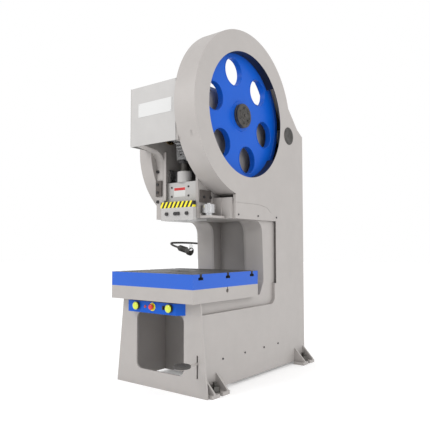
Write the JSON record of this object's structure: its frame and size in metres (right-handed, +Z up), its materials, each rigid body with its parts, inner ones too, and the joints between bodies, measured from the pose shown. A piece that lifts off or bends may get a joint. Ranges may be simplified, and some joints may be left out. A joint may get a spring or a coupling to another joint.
{
  "type": "mechanical stamping press",
  "caption": "open-fronted crank press with a C-shaped frame, belt-driven wheel in a round side guard, ram over a slotted bolster, palm-button box, pedal and work lamp",
  "frame": {"origin": "on the floor, straight below the middle of the ram", "axes": "X to the right seen from the front, the front is -Y, Z up"},
  "size_m": [0.96, 1.758, 2.789],
  "materials": {
    "grey_paint": "satin",
    "pale_paint": "satin",
    "blue_paint": "gloss",
    "dark_steel": "oiled",
    "bright_steel": "machined",
    "black_metal": "satin",
    "cast_grey": "cast",
    "bronze": "machined",
    "rubber": "matt",
    "green_button": "gloss",
    "red_button": "gloss",
    "yellow_trim": "gloss",
    "stripes": "gloss",
    "lens": "clear",
    "black_plastic": "matt"
  },
  "bodies": {
    "frame": {"front_plate": "grey_paint", "wheel_guard": "grey_paint", "left_guard": "grey_paint", "name_plate": "pale_paint", "table": "grey_paint", "bolster": "blue_paint", "back_shaft": "bright_steel", "bull_gear": "cast_grey", "pinion": "bright_steel", "brake_drum": "cast_grey", "crankshaft": "bright_steel", "rod_cap": "cast_grey", "stop_bracket": "grey_paint", "stop_collar": "bright_steel", "motor": "grey_paint", "motor_shelf": "grey_paint", "belts": "rubber", "shaft_cover": "black_metal", "control_box": "blue_paint", "pilot_lamps": "red_button", "lamp_neck": "black_metal", "lamp_lens": "lens", "pedal_pin": "bright_steel", "anchor_feet": "grey_paint", "levelling_bolts": "black_metal", "inner_plates": "grey_paint", "outer_plates": "grey_paint", "side_covers": "grey_paint", "cross_walls": "grey_paint", "rear_wall": "grey_paint", "head_covers": "pale_paint", "guide_flanges": "grey_paint", "shaft_bearings": "bronze", "gibs": "bright_steel", "gib_plates": "dark_steel", "button_rings": "yellow_trim", "frame_bolts": "black_metal", "brake": "dark_steel", "lamp_body": "black_metal"},
    "ram": {"connecting_rod": "cast_grey", "adjusting_screw": "dark_steel", "ram": "pale_paint", "shank_clamp": "pale_paint", "stripe_plate": "stripes", "ram_front_plate": "pale_paint", "warning_plate": "pale_paint", "ram_fasteners": "black_metal", "ball_housing": "pale_paint"},
    "wheel": {"wheel": "blue_paint", "hub_cover": "black_metal"},
    "motor_rotor": {"motor_rotor": "cast_grey"},
    "knockout": {"knockout_bar": "bright_steel"},
    "left_button": {"left_palm_button": "green_button"},
    "right_button": {"right_palm_button": "green_button"},
    "stop": {"stop_button": "red_button"},
    "selector": {"selector": "black_plastic"},
    "pedal": {"pedal_lever": "grey_paint", "pedal_pad": "rubber"}
  },
  "joints": [
    {"name": "ram_stroke", "type": "slide", "parent": "frame", "child": "ram", "axis": [0, 0, -1], "range_m": [0, 0.12]},
    {"name": "wheel_turn", "type": "hinge", "parent": "frame", "child": "wheel", "pos_m": [0, 0.344, 2.113], "axis": [1, 0, 0], "continuous": true},
    {"name": "motor_turn", "type": "hinge", "parent": "frame", "child": "motor_rotor", "pos_m": [0, 0.994, 2.05], "axis": [1, 0, 0], "continuous": true},
    {"name": "knockout_lift", "type": "slide", "parent": "ram", "child": "knockout", "axis": [0, 0, 1], "range_m": [0, 0.05]},
    {"name": "left_button_press", "type": "slide", "parent": "frame", "child": "left_button", "axis": [0, 1, 0], "range_m": [0, 0.006], "stiffness_N_per_m": 900, "springref_m": -0.002},
    {"name": "right_button_press", "type": "slide", "parent": "frame", "child": "right_button", "axis": [0, 1, 0], "range_m": [0, 0.006], "stiffness_N_per_m": 900, "springref_m": -0.002},
    {"name": "stop_press", "type": "slide", "parent": "frame", "child": "stop", "axis": [0, 1, 0], "range_m": [0, 0.005], "stiffness_N_per_m": 900, "springref_m": -0.002},
    {"name": "selector_turn", "type": "hinge", "parent": "frame", "child": "selector", "pos_m": [0.095, -0.33, 0.604], "axis": [0, -1, 0], "range_deg": [0, 60]},
    {"name": "pedal_press", "type": "hinge", "parent": "frame", "child": "pedal", "pos_m": [0.365, -0.216, 0.232], "axis": [1, 0, 0], "range_deg": [0, 9], "stiffness_Nm_per_rad": 120, "springref_deg": -6.88}
  ],
  "couplings": [
    {"joint": "motor_turn", "follows": "wheel_turn", "ratio": 8.7121}
  ]
}
